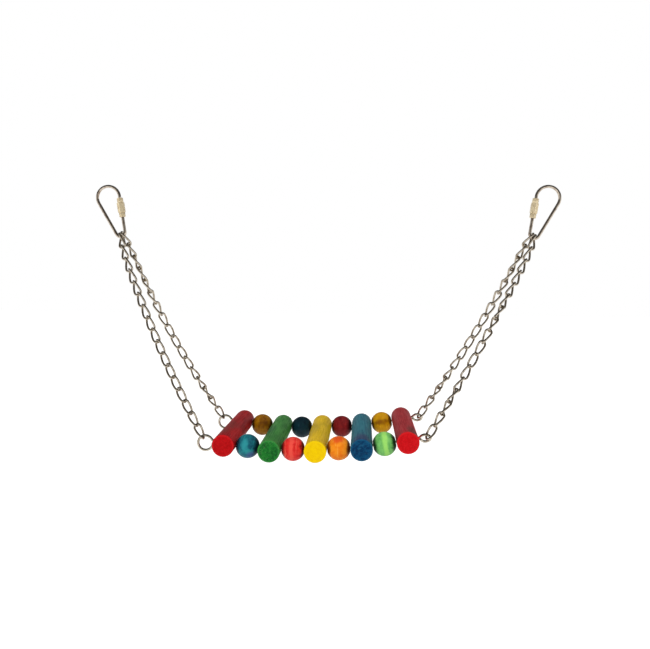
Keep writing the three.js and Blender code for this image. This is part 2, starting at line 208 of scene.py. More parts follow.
def deck_point(distance):
    """A point of the deck's line, which bends up to the outer beads and is straight from there."""
    point = Vector((0, 0, -DECK_SAG))
    step = distance / DECK_STEPS
    for i in range(DECK_STEPS):
        middle = (i + 0.5) * step
        bend = min(abs(middle) / BENT_HALF_LENGTH, 1)
        slope = math.copysign(END_SLOPE, middle) * bend**2
        point += Vector((math.cos(slope), 0, math.sin(slope))) * step
    return point


def deck_slope(distance):
    """The slope of the deck's line over one rung's pitch."""
    run = deck_point(distance + RUNG_PITCH / 2) - deck_point(distance - RUNG_PITCH / 2)
    return math.atan2(run.z, run.x)


def eye_plane(side):
    """The direction in which an eye stands out, and the one across it in the eye's plane."""
    axis = END_SLOPE - EYE_DROOP[side]
    out = Vector((side * math.cos(axis), 0, math.sin(axis)))
    across = Vector((-side * math.sin(axis), 0, math.cos(axis)))
    across.rotate(Matrix.Rotation(EYE_LEAN[side], 3, out))
    return out, across


def eye_centre(side, row):
    stand_off = RUNG_RADIUS + EYE_STAND_OFF
    root = deck_point(DECK_HALF_LENGTH)
    root += Vector((math.cos(END_SLOPE), 0, math.sin(END_SLOPE))) * stand_off
    root = Vector((side * root.x, row * WIRE_HALF_SPACING, root.z))
    return root + eye_plane(side)[0] * EYE_NECK[side]


# Where the chains and quick links lie

# Rounds of correction that are more than enough for the places to settle
STRAND_ROUNDS = 6
HEIGHT_ROUNDS = 30

CROWN_RADIUS = LINK_OUTER_WIDTH / 2 - LINK_WIRE_RADIUS
CROWN_CENTRE = LINK_INNER_LENGTH / 2 + LINK_WIRE_RADIUS - CROWN_RADIUS
BOW_RADIUS = QUICK_LINK_WIDTH / 2 - QUICK_LINK_WIRE_RADIUS
FOOT_RADIUS = QUICK_LINK_FOOT_WIDTH / 2 - QUICK_LINK_WIRE_RADIUS
FOOT_TO_BOW = QUICK_LINK_LENGTH - 2 * QUICK_LINK_WIRE_RADIUS - BOW_RADIUS - FOOT_RADIUS
LEG_LEAN = math.asin((BOW_RADIUS - FOOT_RADIUS) / FOOT_TO_BOW)
LEG_DOWN = Vector((-math.sin(LEG_LEAN), 0, -math.cos(LEG_LEAN)))
LEG_TOP = Vector((math.cos(LEG_LEAN), 0, -math.sin(LEG_LEAN))) * BOW_RADIUS + UP * FOOT_TO_BOW

FOOT_X = QUICK_LINK_SPAN / 2 - FOOT_TO_BOW * math.sin(QUICK_LINK_TILT)
SEAT_GAP = RUNNING_GAP + FOOT_CLEARANCE
FOOT_SEAT_RADIUS = FOOT_RADIUS - QUICK_LINK_WIRE_RADIUS - LINK_WIRE_RADIUS - SEAT_GAP
FOOT_SEAT_DEPTH = math.sqrt(FOOT_SEAT_RADIUS**2 - FIRST_LINK_OFFSET**2)
FOOT_WIRE_DEPTH = math.sqrt(FOOT_RADIUS**2 - FIRST_LINK_OFFSET**2)

FUSED_JOINTS = (LINK_COUNT - 1) // 2
LOOSE_JOINTS = LINK_COUNT - 1 - FUSED_JOINTS
FUSED_PITCH = LINK_INNER_LENGTH + LINK_SEAT
LOOSE_PITCH = LINK_INNER_LENGTH - RUNNING_GAP
TOP_REACH = LINK_INNER_LENGTH / 2 + LINK_WIRE_RADIUS

deck_turn = Matrix.Rotation(-DECK_ROLL, 3, "Y")


def strand_between(side, row, foot_height):
    """A chain's two ends, its direction, and the directions of the wires that it hangs between."""
    eye = deck_turn @ eye_centre(side, row) + Vector((DECK_SHIFT, 0, 0))
    out, across = (deck_turn @ way for way in eye_plane(side))
    foot = Vector((side * FOOT_X, 0, foot_height))
    load = (foot - eye).normalized()
    for _ in range(STRAND_ROUNDS):
        down = Vector((-load.x, 0, -load.z)).normalized()
        foot_wire = Vector((-down.z, 0, down.x))
        crown_point = foot + down * FOOT_WIRE_DEPTH - foot_wire * row * side * FIRST_LINK_OFFSET
        crown_point += load * (FOOT_WIRE_DEPTH - FOOT_SEAT_DEPTH)
        eye_way = (out * load.dot(out) + across * load.dot(across)).normalized()
        eye_point = eye + eye_way * EYE_RADIUS[side]
        load = (crown_point - eye_point).normalized()
    return crown_point, eye_point, load, foot_wire, eye_way.cross(out.cross(across))


def strand_length(side):
    """A chain's length between its two bearings, with the play in its joints."""
    bottom_reach = LINK_INNER_LENGTH / 2 - RUNNING_GAP - DECK_WIRE_RADIUS
    if side > 0:
        bottom_reach -= RIGHT_EYE_CLEARANCE
    joints = FUSED_JOINTS * FUSED_PITCH + LOOSE_JOINTS * LOOSE_PITCH - FIRST_JOINT_CLEARANCE
    return TOP_REACH + joints + bottom_reach


def foot_height_over_deck():
    """The quick links' feet over the deck, where the four chains are long enough on average."""
    corners = [(side, row) for side in (-1, 1) for row in (-1, 1)]
    height = strand_length(-1)
    for _ in range(HEIGHT_ROUNDS):
        short = 0
        for side, row in corners:
            crown_point, eye_point, load, _wire, _eye = strand_between(side, row, height)
            short += (strand_length(side) - (crown_point - eye_point).length) / load.z
        height += short / len(corners)
    return height


foot_height = foot_height_over_deck()
bow_height = foot_height + FOOT_TO_BOW * math.cos(QUICK_LINK_TILT)
deck_height = -(bow_height + BOW_RADIUS - QUICK_LINK_WIRE_RADIUS)


def placed(matrix):
    """A matrix in millimetres as one in metres."""
    scaled = matrix.copy()
    scaled.translation *= MM
    return scaled


deck_frame = Matrix.Translation((DECK_SHIFT, 0, deck_height)) @ deck_turn.to_4x4()


def smooth_between(values, place):
    """A smooth line through evenly spaced values, at a place counted in values from the first."""
    values = [2 * values[0] - values[1], *values, 2 * values[-1] - values[-2]]
    first = min(int(place), len(values) - 4)
    t = place - first
    a, b, c, d = values[first : first + 4]
    return b + t / 2 * (c - a + t * (2 * a - 5 * b + 4 * c - d + t * (3 * (b - c) + d - a)))


def link_places(side, row):
    """The place of each link of one chain, from the quick link down."""
    crown_point, eye_point, along, foot_wire, eye_wire = strand_between(side, row, foot_height)
    first = (DEPTH - along * DEPTH.dot(along)).normalized()
    second = along.cross(first)
    strand = Matrix((first, second, along)).transposed().to_4x4()
    strand.translation = crown_point + UP * deck_height

    def across_wire(wire, half_twist, roll):
        """The roll nearest to the given one at which a crown lies across a wire."""
        across = wire.cross(along)
        own = math.atan2(across.dot(second), across.dot(first)) + half_twist
        return own + round((roll - own) / math.pi) * math.pi

    rolls = [math.radians(turn - 90) for turn in TURNS[side, row]]
    rolls[0] = across_wire(foot_wire, -side * LINK_TWIST / 2, rolls[0])
    rolls[-1] = across_wire(eye_wire, side * LINK_TWIST / 2, rolls[-1])

    reach = (crown_point - eye_point).length
    spare = (reach - strand_length(side)) / (LINK_COUNT - 1)
    outwards = side * math.copysign(1, second.x)

    def off_line(height):
        """How far a chain hangs off the straight line between its ends."""
        share = -height / reach
        links = -height / (STRAND_PUSH_PEAK * LINK_INNER_LENGTH)
        push = -row * STRAND_PUSH * links * math.exp(1 - links)
        return outwards * (4 * CHAIN_SAG[side] * share * (1 - share) + push)

    places = []
    centre = -TOP_REACH
    for i in range(LINK_COUNT):
        top = off_line(min(centre + LINK_INNER_LENGTH / 2, 0))
        bottom = off_line(max(centre - LINK_INNER_LENGTH / 2, -reach))
        lean = math.atan2(top - bottom, LINK_INNER_LENGTH)
        roll = smooth_between(rolls, i / (LINK_COUNT - 1) * (len(rolls) - 1))
        place = Matrix.Translation((0, (top + bottom) / 2, centre))
        place @= Matrix.Rotation(-lean, 4, "X") @ Matrix.Rotation(roll, 4, "Z")
        places.append(strand @ place)
        centre -= spare + (LOOSE_PITCH if i % 2 == 0 else FUSED_PITCH)
        if i == 0:
            centre += FIRST_JOINT_CLEARANCE
    return places


# Materials

ROUND = (1, 1, 1)
LONG = (1, 0.35, 1)

RUNG_SPECULAR = 0.08
BEAD_SPECULAR = 0.12

# Millimetres from a rung's middle over which its cut face turns paler
RIM_BAND = (6.2, 7.8)
# How squarely a surface faces along a rung to count as its cut face
FACE_NORMAL = (0.75, 0.95)
SAW_ANGLE = 0.6
# Millimetres from a bead's middle at which it is darkest, from stain and painted shade by the rungs
BEAD_DARK_REACH = 7.0


class Patch(NamedTuple):
    """A soft, ragged patch of another shade round a point of the piece, in millimetres."""
    shade: tuple
    centre: tuple
    size: float
    strength: float
    stretched: tuple


class PaintedHighlightBand(NamedTuple):
    """A paler band round a bead, at a place along its hole, in millimetres: a painted highlight,
    partly also a paler ring of the stain.
    """
    shade: tuple
    middle: float
    half_width: float


def srgb(red, green, blue):
    """A colour given by its 0 to 255 values, as the shader wants it."""
    def linear(value):
        value /= 255
        return value / 12.92 if value <= 0.04045 else ((value + 0.055) / 1.055) ** 2.4
    return linear(red), linear(green), linear(blue), 1.0


def put(tree, socket, value):
    """Joins another socket to a socket, or sets the number or colour on it."""
    if isinstance(value, bpy.types.NodeSocket):
        tree.links.new(value, socket)
    else:
        socket.default_value = value


def calculate(tree, kind, first, second=0.0):
    node = tree.nodes.new("ShaderNodeMath")
    node.operation = kind
    put(tree, node.inputs[0], first)
    put(tree, node.inputs[1], second)
    return node.outputs[0]


def smooth_range(tree, value, low, high, to_low, to_high):
    """Leads a value softly from one pair of limits to another."""
    node = tree.nodes.new("ShaderNodeMapRange")
    node.interpolation_type = "SMOOTHSTEP"
    put(tree, node.inputs["Value"], value)
    node.inputs["From Min"].default_value = low
    node.inputs["From Max"].default_value = high
    node.inputs["To Min"].default_value = to_low
    node.inputs["To Max"].default_value = to_high
    return node.outputs[0]


class Finish:
    """A material under construction, with short ways to add and join its nodes."""

    def __init__(self, name):
        self.material = bpy.data.materials.new(name)
        self.material.use_nodes = True
        self.tree = self.material.node_tree
        self.shader = self.tree.nodes["Principled BSDF"]
        coordinates = self.node("TexCoord")
        self.object = coordinates.outputs["Object"]
        self.normal = coordinates.outputs["Normal"]

    def node(self, kind):
        return self.tree.nodes.new("ShaderNode" + kind)

    def calculate(self, kind, first, second=0.0):
        return calculate(self.tree, kind, first, second)

    def range(self, value, low, high, to_low=0.0, to_high=1.0):
        return smooth_range(self.tree, value, low, high, to_low, to_high)

    def stretch(self, scale, shift=(0, 0, 0), source=None):
        """The piece's own coordinates, in millimetres, times a scale along each axis."""
        node = self.node("Mapping")
        node.inputs["Scale"].default_value = [value / MM for value in scale]
        node.inputs["Location"].default_value = shift
        put(self.tree, node.inputs["Vector"], source or self.object)
        return node.outputs[0]

    def turned(self, angle):
        """The piece's own coordinates turned about its long axis."""
        node = self.node("VectorRotate")
        node.rotation_type = "Y_AXIS"
        node.inputs["Angle"].default_value = angle
        put(self.tree, node.inputs["Vector"], self.object)
        return node.outputs[0]

    def noise(self, coordinates, detail, roughness=0.5, distortion=0.0):
        node = self.node("TexNoise")
        node.inputs["Scale"].default_value = 1.0
        node.inputs["Detail"].default_value = detail
        node.inputs["Roughness"].default_value = roughness
        node.inputs["Distortion"].default_value = distortion
        put(self.tree, node.inputs["Vector"], coordinates)
        return node.outputs["Fac"]

    def axis(self, coordinates, name):
        node = self.node("SeparateXYZ")
        put(self.tree, node.inputs[0], coordinates)
        return node.outputs[name]

    def mix(self, share, first, second):
        node = self.node("Mix")
        node.data_type = "RGBA"
        put(self.tree, node.inputs["Factor"], share)
        put(self.tree, node.inputs["A"], first)
        put(self.tree, node.inputs["B"], second)
        return node.outputs["Result"]

    def distance(self, coordinates, centre):
        node = self.node("VectorMath")
        node.operation = "DISTANCE"
        put(self.tree, node.inputs[0], coordinates)
        node.inputs[1].default_value = centre
        return node.outputs["Value"]

    def lay(self, colour, patch):
        """Lays a patch over a colour."""
        where = self.stretch(patch.stretched)
        middle = [value * scale for value, scale in zip(patch.centre, patch.stretched)]
        ragged = self.noise(self.stretch((0.35, 0.35, 0.35)), detail=4)
        rough_edge = self.calculate("MULTIPLY", ragged, patch.size)
        reach = self.calculate("ADD", self.distance(where, middle), rough_edge)
        share = self.range(reach, patch.size * 0.9, patch.size * 1.7, patch.strength, 0.0)
        return self.mix(share, colour, patch.shade)

    def bump(self, height, strength, depth):
        node = self.node("Bump")
        node.inputs["Strength"].default_value = strength
        node.inputs["Distance"].default_value = depth * MM
        put(self.tree, node.inputs["Height"], height)
        return node.outputs["Normal"]

    def finish(self, colour, roughness, normal):
        put(self.tree, self.shader.inputs["Base Color"], colour)
        put(self.tree, self.shader.inputs["Roughness"], roughness)
        put(self.tree, self.shader.inputs["Normal"], normal)
        return self.material


def rung_stain(name, seed, face, core, rim, side, deep, pale, patches, strokes):
    """Stained dowel: smooth end grain at the cut faces, and long grain on its side."""
    finish = Finish(name)
    shift = (seed * 17.0, seed * 5.0, seed * 11.0)
    long_grain = finish.noise(finish.stretch((1.3, 0.05, 1.3), shift), detail=4, roughness=0.6)
    pores = finish.noise(finish.stretch((4.5, 0.3, 4.5), shift), detail=3, roughness=0.6)
    cloud = finish.noise(finish.stretch((0.16, 0.05, 0.16), shift), detail=3)
    colour = finish.mix(finish.range(long_grain, 0.42, 0.72), side, deep)
    colour = finish.mix(finish.range(cloud, 0.45, 0.75, to_high=0.7), colour, deep)
    colour = finish.mix(finish.range(pores, 0.58, 0.75, to_high=0.35), colour, pale)
    for patch in patches:
        colour = finish.lay(colour, patch)

    # The cut face: a darker core, a paler rim, pores, and the marks that the saw left
    middle = finish.distance(finish.stretch((1, 0, 1)), (0, 0, 0))
    mottle_place = finish.stretch((0.45, 0.45, 0.45), shift)
    mottle = finish.noise(mottle_place, detail=4, roughness=0.6, distortion=0.6)
    cut = finish.mix(finish.range(mottle, 0.35, 0.65), face, core)
    cut = finish.mix(finish.range(middle, *RIM_BAND, to_high=0.85), cut, rim)
    sawn_place = finish.stretch((0.35, 0.35, 2.2), shift, finish.turned(SAW_ANGLE))
    sawn = finish.noise(sawn_place, detail=3, roughness=0.6)
    cut = finish.mix(finish.range(sawn, 0.55, 0.75, to_high=strokes), cut, pale)
    facing = finish.calculate("ABSOLUTE", finish.axis(finish.normal, "Y"))
    is_face = finish.range(facing, *FACE_NORMAL)
    colour = finish.mix(is_face, colour, cut)

    side_height = finish.calculate("ADD", finish.calculate("MULTIPLY", pores, 0.6), long_grain)
    height = finish.mix(is_face, side_height, finish.calculate("ADD", sawn, mottle))
    roughness = finish.range(long_grain, 0.3, 0.8, to_low=0.52, to_high=0.68)
    finish.shader.inputs["Specular IOR Level"].default_value = RUNG_SPECULAR
    return finish.finish(colour, roughness, finish.bump(height, strength=0.5, depth=0.12))


def bead_stain(name, seed, main, deep, ends, mottle, band=None, patches=(), end_reach=5.4):
    """Stained turned bead: dark by its hole, where the stain soaks into the end grain and where
    shade from the rungs is painted in, with a painted highlight band across it.
    """
    finish = Finish(name)
    shift = (seed * 13.0, seed * 7.0, seed * 3.0)
    streaks_place = finish.stretch((0.9, 0.16, 0.16), shift)
    streaks = finish.noise(streaks_place, detail=3, roughness=0.6, distortion=0.4)
    cloud = finish.noise(finish.stretch((0.22, 0.22, 0.22), shift), detail=4, roughness=0.6)
    pores = finish.noise(finish.stretch((1.2, 3.2, 3.2), shift), detail=3, roughness=0.6)
    colour = finish.mix(finish.range(cloud, 0.4, 0.68), main, deep)
    colour = finish.mix(finish.range(streaks, 0.5, 0.75, to_high=0.8), colour, mottle)
    along = finish.axis(finish.stretch(ROUND), "X")
    wander = finish.calculate("MULTIPLY", finish.calculate("SUBTRACT", cloud, 0.5), 4.0)
    where = finish.calculate("ADD", along, wander)
    # A paler band across the bead: a painted highlight
    if band:
        off = finish.calculate("ABSOLUTE", finish.calculate("SUBTRACT", where, band.middle))
        share = finish.range(off, 0.2 * band.half_width, band.half_width, 0.85, 0)
        colour = finish.mix(share, colour, band.shade)
    for patch in patches:
        colour = finish.lay(colour, patch)
    # Darker towards both ends of the hole: stain soaking into the end grain, and painted shade
    # where the bead meets the rungs
    soak_and_shade = finish.range(
        finish.calculate("ABSOLUTE", where), end_reach, BEAD_DARK_REACH, to_high=0.95)
    colour = finish.mix(soak_and_shade, colour, ends)
    colour = finish.mix(finish.range(pores, 0.6, 0.8, to_high=0.35), colour, deep)
    height = finish.calculate("ADD", finish.calculate("MULTIPLY", pores, 0.5), streaks)
    roughness = finish.range(cloud, 0.3, 0.8, to_low=0.4, to_high=0.55)
    finish.shader.inputs["Specular IOR Level"].default_value = BEAD_SPECULAR
    return finish.finish(colour, roughness, finish.bump(height, strength=0.35, depth=0.08))


def plated_steel(name, bright, dull, smooth, rough, grain, metallic=1.0, speckled=0.5):
    """Nickel plate over steel wire: clouded where it has dulled, and finely pitted."""
    finish = Finish(name)
    cloud = finish.noise(finish.stretch((grain, grain, grain)), detail=4, roughness=0.6)
    specks = finish.noise(finish.stretch((6, 6, 6)), detail=2, roughness=0.6)
    colour = finish.mix(finish.range(cloud, 0.42, 0.7), bright, dull)
    colour = finish.mix(finish.range(specks, 0.62, 0.78, to_high=speckled), colour, dull)
    finish.shader.inputs["Metallic"].default_value = metallic
    roughness = finish.range(cloud, 0.35, 0.7, to_low=smooth, to_high=rough)
    pits = finish.bump(specks, strength=0.5 * speckled, depth=0.03)
    return finish.finish(colour, roughness, pits)


rung_finishes = [
    rung_stain(
        "stain_red_left", seed=1, strokes=0.08,
        face=srgb(192, 14, 20), core=srgb(170, 8, 12), rim=srgb(208, 30, 34),
        side=srgb(168, 22, 28), deep=srgb(130, 24, 28), pale=srgb(188, 80, 76),
        patches=[
            Patch(srgb(116, 40, 36), (-1, -18, 8), 9, 0.7, LONG),
            Patch(srgb(196, 20, 26), (7, -28, 2), 8, 0.8, LONG),
        ],
    ),
    rung_stain(
        "stain_green", seed=2, strokes=0.4,
        face=srgb(34, 124, 44), core=srgb(16, 84, 32), rim=srgb(56, 144, 64),
        side=srgb(66, 138, 60), deep=srgb(44, 104, 48), pale=srgb(136, 178, 120),
        patches=[Patch(srgb(44, 96, 56), (-7, -10, 6), 8, 0.7, LONG)],
    ),
    rung_stain(
        "stain_yellow", seed=3, strokes=0.12,
        face=srgb(248, 208, 0), core=srgb(240, 194, 0), rim=srgb(250, 214, 14),
        side=srgb(232, 192, 20), deep=srgb(200, 162, 20), pale=srgb(238, 212, 96),
        patches=[Patch(srgb(176, 146, 34), (-6, 0, 6), 9, 0.5, LONG)],
    ),
    rung_stain(
        "stain_blue", seed=4, strokes=0.2,
        face=srgb(12, 74, 112), core=srgb(4, 44, 80), rim=srgb(22, 88, 124),
        side=srgb(44, 118, 132), deep=srgb(36, 92, 114), pale=srgb(96, 146, 158),
        patches=[Patch(srgb(50, 58, 96), (0, -42, 8), 8, 0.85, (1, 0.5, 1))],
    ),
    rung_stain(
        "stain_red_right", seed=5, strokes=0.08,
        face=srgb(212, 18, 26), core=srgb(194, 10, 18), rim=srgb(220, 34, 38),
        side=srgb(172, 38, 44), deep=srgb(138, 32, 38), pale=srgb(200, 122, 118),
        patches=[
            Patch(srgb(110, 50, 44), (4.5, -38, 7), 5.5, 0.85, LONG),
            Patch(srgb(232, 50, 58), (7.7, -5, 2.3), 3.2, 0.9, (1, 0.04, 1)),
        ],
    ),
]

bead_finishes = {
    "front": [
        bead_stain(
            "bead_stain_teal", seed=1, end_reach=4.2,
            main=srgb(26, 106, 120), deep=srgb(18, 76, 96),
            ends=srgb(8, 26, 44), mottle=srgb(40, 150, 150),
            patches=[
                Patch(srgb(46, 148, 154), (-1, -7, 2), 3.4, 0.85, (1, 1, 0.6)),
                Patch(srgb(42, 154, 150), (2, -7, -2), 2.6, 0.8, (0.6, 1, 1)),
                Patch(srgb(62, 84, 136), (3.5, -6, -4.5), 4.2, 0.8, ROUND),
            ],
        ),
        bead_stain(
            "bead_stain_red", seed=2, end_reach=4.9,
            main=srgb(230, 52, 46), deep=srgb(208, 32, 32),
            ends=srgb(84, 10, 16), mottle=srgb(244, 104, 82),
            # The band is a painted highlight down the bead's middle
            band=PaintedHighlightBand(srgb(240, 84, 70), -0.6, 2.4),
        ),
        bead_stain(
            "bead_stain_orange", seed=3, end_reach=5.0,
            main=srgb(246, 146, 28), deep=srgb(234, 116, 16),
            ends=srgb(96, 40, 10), mottle=srgb(250, 182, 84),
            patches=[
                Patch(srgb(224, 72, 24), (0, -3, 7), 5, 0.85, ROUND),
                # Painted shade at the bead's right end, where it meets the rung
                Patch(srgb(104, 56, 20), (7.5, -4, 0), 3.4, 0.85, ROUND),
            ],
        ),
        bead_stain(
            "bead_stain_light_green", seed=4, end_reach=4.6,
            main=srgb(122, 194, 104), deep=srgb(86, 164, 82),
            ends=srgb(8, 36, 20), mottle=srgb(136, 212, 104),
            # The band is a painted highlight down the bead's middle, over a paler ring of the stain
            band=PaintedHighlightBand(srgb(162, 226, 108), 0.6, 2.5),
        ),
    ],
    "rear": [
        bead_stain(
            "bead_stain_ochre_left", seed=5,
            main=srgb(150, 98, 6), deep=srgb(118, 70, 4),
            ends=srgb(56, 32, 4), mottle=srgb(184, 130, 12),
            # The patch is a painted shadow on the bead, right of its middle
            patches=[Patch(srgb(88, 46, 6), (2, -6, 2), 5, 0.85, ROUND)],
        ),
        bead_stain(
            "bead_stain_navy", seed=6,
            main=srgb(12, 40, 50), deep=srgb(8, 28, 38),
            ends=srgb(4, 12, 20), mottle=srgb(18, 58, 66),
        ),
        bead_stain(
            "bead_stain_dark_red", seed=7,
            main=srgb(122, 26, 28), deep=srgb(100, 14, 18),
            ends=srgb(36, 6, 8), mottle=srgb(152, 38, 36),
            # The patch is painted shade at the bead's right end, where it meets the rung
            patches=[Patch(srgb(52, 8, 10), (6, -4, 0), 4.5, 0.8, ROUND)],
        ),
        bead_stain(
            "bead_stain_ochre_right", seed=8,
            main=srgb(200, 144, 6), deep=srgb(184, 128, 4),
            ends=srgb(70, 40, 4), mottle=srgb(226, 172, 22),
            patches=[Patch(srgb(122, 70, 6), (0, -7, 2), 3.6, 0.85, (0.5, 1, 1.4))],
        ),
    ],
}
RUNG_STAINS = ["red", "green", "yellow", "blue", "red"]

wire_finish = plated_steel(
    "nickel_wire", bright=srgb(196, 188, 172), dull=srgb(150, 138, 118),
    smooth=0.2, rough=0.34, grain=0.4)
chain_finish = plated_steel(
    "nickel_chain", bright=srgb(190, 180, 164), dull=srgb(140, 126, 108),
    smooth=0.16, rough=0.3, grain=0.5)
hardware_finish = plated_steel(
    "nickel_quick_link", bright=srgb(202, 190, 174), dull=srgb(150, 132, 116),
    smooth=0.12, rough=0.24, grain=0.3)
sleeve_finish = plated_steel(
    "nickel_sleeve", bright=srgb(238, 220, 182), dull=srgb(214, 192, 152),
    smooth=0.3, rough=0.4, grain=0.4, metallic=0.55, speckled=0.12)


def settle(piece, matrix):
    """Puts a piece's mesh itself in place, so that its box lies square to the object's."""
    piece.data.transform(placed(matrix))


def settle_turn(piece, matrix):
    """Turns a piece's mesh itself, and leaves only its place to the piece."""
    piece.data.transform(matrix.to_3x3().to_4x4())
    piece.matrix_world = Matrix.Translation(matrix.translation * MM)


def dress(piece, node, material):
    """Gives a piece its finish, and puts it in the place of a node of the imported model."""
    if not piece.data.materials:
        piece.data.materials.append(material)
    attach(piece, body_of[node])
    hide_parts(node)


# Rungs

RUNG_SIDES = 88
RING_REACH = 40
RING_STEP = 4
RIM_STEPS = 4
FACE_RINGS = (0.04, 0.25, 0.5, 0.7, 0.84)
DRILL_SIDES = 28

# How much is broken off the rims, at the front face (-1) and the rear face (1)
RIM_BREAK = {-1: 0.42, 1: 0.6}
RIM_CHIPS = {-1: 0.1, 1: 0.35}
RIM_RAGGED = 0.22
SIDE_WAVES = 0.05
SLIVER_ROOT = 0.25


def rung_object(number, slope):
    """A dowel with softly broken, uneven rims, drilled for the two wires."""
    half = RUNG_LENGTH / 2

    def rim_break(angle, end):
        """How much is broken off a rim, at an angle round it."""
        ragged = noise.noise(Vector((math.cos(angle) * 2, math.sin(angle) * 2, number * 9 + end)))
        chipped = noise.noise(Vector((math.cos(angle) * 7, math.sin(angle) * 7, number * 5 + end)))
        return RIM_BREAK[end] + RIM_RAGGED * ragged + RIM_CHIPS[end] * chipped

    def surface(y, angle):
        """The side's radius, which waves a little along the grain."""
        place = Vector((math.cos(angle) * 1.2, y * 0.05, math.sin(angle) * 1.2 + number * 4))
        return RUNG_RADIUS - SIDE_WAVES + SIDE_WAVES * noise.noise(place)

    def ring(height, inset):
        corners = []
        for k in range(RUNG_SIDES):
            angle = 2 * math.pi * k / RUNG_SIDES
            y, radius = height(angle), inset(angle)
            corners.append(Vector((radius * math.sin(angle), y, radius * math.cos(angle))))
        return corners

    def rim(end, turn):
        """One ring of a rim's round, from the face at 0 to the side at a quarter turn."""
        def height(angle):
            broken = rim_break(angle, end)
            return end * (half - broken * (1 - math.cos(turn)))

        def inset(angle):
            broken = rim_break(angle, end)
            return surface(end * half, angle) - broken * (1 - math.sin(turn))
        return ring(height, inset)

    def face(end):
        """The rings of a cut face, from near its middle outwards."""
        return [ring(lambda a: end * half, lambda a: RUNG_RADIUS * s) for s in FACE_RINGS]

    turns = [math.pi / 2 * i / RIM_STEPS for i in range(RIM_STEPS + 1)]
    rings = face(-1) + [rim(-1, turn) for turn in turns]
    for y in range(-RING_REACH, RING_REACH + 1, RING_STEP):
        rings.append(ring(lambda a: y, lambda a: surface(y, a)))
    rings += [rim(1, turn) for turn in reversed(turns)] + face(1)[::-1]
    piece = build(f"rung_{number}_{RUNG_STAINS[number - 1]}_wood", rings)
    drill(piece, slope)
    return piece


def drill(piece, slope):
    """Drills a rung for the two wires, which pass it at the deck's slope."""
    cutter_mesh = bpy.data.meshes.new("drill")
    holes = bmesh.new()
    for row in ROWS.values():
        place = Matrix.Translation((0, row * WIRE_HALF_SPACING * MM, 0))
        place @= Matrix.Rotation(-slope, 4, "Y") @ Matrix.Rotation(math.pi / 2, 4, "Y")
        bmesh.ops.create_cone(
            holes, cap_ends=True, segments=DRILL_SIDES, radius1=HOLE_RADIUS * MM,
            radius2=HOLE_RADIUS * MM, depth=4 * RUNG_RADIUS * MM, matrix=place)
    holes.to_mesh(cutter_mesh)
    holes.free()
    cutter = add_object("drill", cutter_mesh)
    drilling = piece.modifiers.new("drilling", "BOOLEAN")
    drilling.operation = "DIFFERENCE"
    drilling.solver = "EXACT"
    drilling.object = cutter
    bpy.context.view_layer.update()
    drilled = bpy.data.meshes.new_from_object(
        piece.evaluated_get(bpy.context.evaluated_depsgraph_get()))
    piece.modifiers.clear()
    piece.data = drilled
    bpy.data.objects.remove(cutter)
    drilled.shade_smooth()
    drilled.set_sharp_from_angle(angle=math.radians(SHARP_EDGE))


def add_sliver(piece, angle, y, length, width, lift):
    """A raised splinter of wood, rooted in a rung near its rim."""
    out = Vector((math.sin(angle), 0, math.cos(angle)))
    side = out.cross(DEPTH)
    base = out * (RUNG_RADIUS - SLIVER_ROOT) + DEPTH * y
    into = -math.copysign(1, y)
    tip = base + out * lift + DEPTH * into * length * 0.1
    corners = [
        base - side * width / 2,
        base + side * width * 0.4,
        base + DEPTH * into * length + side * width * 0.2,
        tip - side * width * 0.2,
        tip + side * width * 0.25 + DEPTH * into * length * 0.2,
    ]
    faces = [(0, 3, 4, 1), (0, 2, 3), (1, 4, 2), (3, 2, 4), (0, 1, 2)]
    shape = bmesh.new()
    shape.from_mesh(piece.data)
    made = [shape.verts.new(corner * MM) for corner in corners]
    for face in faces:
        shape.faces.new([made[i] for i in face])
    bmesh.ops.recalc_face_normals(shape, faces=[f for f in shape.faces if made[2] in f.verts[:]])
    shape.to_mesh(piece.data)
    shape.free()


for i, colour in enumerate(RUNG_STAINS):
    distance = -DECK_HALF_LENGTH + i * RUNG_PITCH
    rung = rung_object(i + 1, deck_slope(distance))
    if colour == "green":
        add_sliver(rung, angle=math.radians(52), y=44.4, length=3.5, width=1.0, lift=0.7)
    if i == RUNG_COUNT - 1:
        add_sliver(rung, angle=math.radians(68), y=-44.2, length=3.0, width=2.0, lift=1.2)
    settle_turn(rung, deck_frame @ Matrix.Translation(deck_point(distance)))
    dress(rung, f"rung_{i + 1}_{colour}", rung_finishes[i])


# Beads

BEAD_SIDES = 64
BEAD_RINGS = 40
MOUTH_ROUND = 0.45
EDGE_ROUND = 0.5
ROUND_STEPS = 4


def bead_object(name):
    """A turned ball, faced flat at its ends and drilled, with its edges rounded."""
    shares = [i / ROUND_STEPS for i in range(ROUND_STEPS + 1)]
    faced = math.asin(BEAD_HALF_LENGTH / BEAD_RADIUS)
    lip = BEAD_RADIUS * math.cos(faced)
    ball = faced - EDGE_ROUND / BEAD_RADIUS
    start = Vector((BEAD_RADIUS * math.sin(ball), BEAD_RADIUS * math.cos(ball)))
    corner = Vector((BEAD_HALF_LENGTH, lip))
    end = Vector((BEAD_HALF_LENGTH, lip - EDGE_ROUND))
    half = []
    for share in shares[1:]:
        half.append(start * (1 - share) ** 2 + corner * 2 * share * (1 - share) + end * share**2)
    for turn in (math.pi / 2 * share for share in shares):
        round_off = Vector((math.cos(turn) - 1, 1 - math.sin(turn))) * MOUTH_ROUND
        half.append(Vector((BEAD_HALF_LENGTH, HOLE_RADIUS)) + round_off)
    profile = [(-height, radius) for height, radius in reversed(half)]
    for i in range(BEAD_RINGS + 1):
        angle = ball * (2 * i / BEAD_RINGS - 1)
        profile.append((BEAD_RADIUS * math.sin(angle), BEAD_RADIUS * math.cos(angle)))
    rings = lathe(profile + half, BEAD_SIDES, RIGHT, DEPTH)
    return build(name, rings, looped=True)


